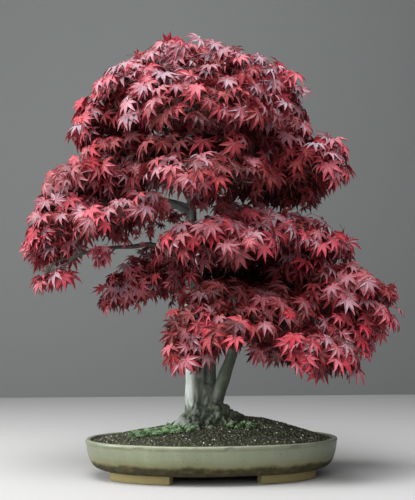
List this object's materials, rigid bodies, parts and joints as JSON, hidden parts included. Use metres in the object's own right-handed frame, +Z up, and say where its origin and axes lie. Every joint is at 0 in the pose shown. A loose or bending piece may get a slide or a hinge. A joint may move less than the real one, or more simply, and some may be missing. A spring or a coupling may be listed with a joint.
{
  "type": "bonsai tree in a pot",
  "caption": "Red palmate maple bonsai: stems on one flared root base carry tiered leaf pads over a soil mound in a shallow oval glazed pot with low feet.",
  "frame": {"origin": "on the table under the middle of the pot, which is under the middle of the crown's box", "axes": "+X along the pot's length, to the right seen from the tree's front; -Y is the front; +Z up along the trunk"},
  "size_m": [0.68, 0.48, 0.79],
  "materials": {
    "glazed_pot": "satin",
    "soil": "matte",
    "bark": "matte",
    "moss": "matte",
    "maple_leaf": "satin",
    "screen_plastic": "matte",
    "clip_wire": "satin"
  },
  "bodies": {
    "root": {"pot": "glazed_pot", "soil": "soil", "trunk_and_branches": "bark", "moss_left": "moss", "moss_right": "moss", "moss_back": "moss", "drain_screen_left": "screen_plastic", "drain_screen_right": "screen_plastic", "screen_clip_left": "clip_wire", "screen_clip_right": "clip_wire", "leaves_apex": "maple_leaf", "leaves_crown_left": "maple_leaf", "leaves_crown_right": "maple_leaf", "leaves_crown_front": "maple_leaf", "leaves_crown_back": "maple_leaf", "leaves_skirt_left": "maple_leaf", "leaves_skirt_front": "maple_leaf", "leaves_shoulder_right": "maple_leaf", "leaves_skirt_back_left": "maple_leaf", "leaves_skirt_back_right": "maple_leaf", "leaves_left_upper": "maple_leaf", "leaves_left_front": "maple_leaf", "leaves_left_outer": "maple_leaf", "leaves_left_tip": "maple_leaf", "leaves_left_back": "maple_leaf", "leaves_mid_left": "maple_leaf", "leaves_mid_front": "maple_leaf", "leaves_mid_right": "maple_leaf", "leaves_mid_back": "maple_leaf", "leaves_low_right": "maple_leaf", "leaves_low_right_front": "maple_leaf", "leaves_low_front": "maple_leaf", "leaves_low_left_front": "maple_leaf", "leaves_low_back": "maple_leaf", "leaves_low_centre": "maple_leaf"}
  },
  "joints": []
}
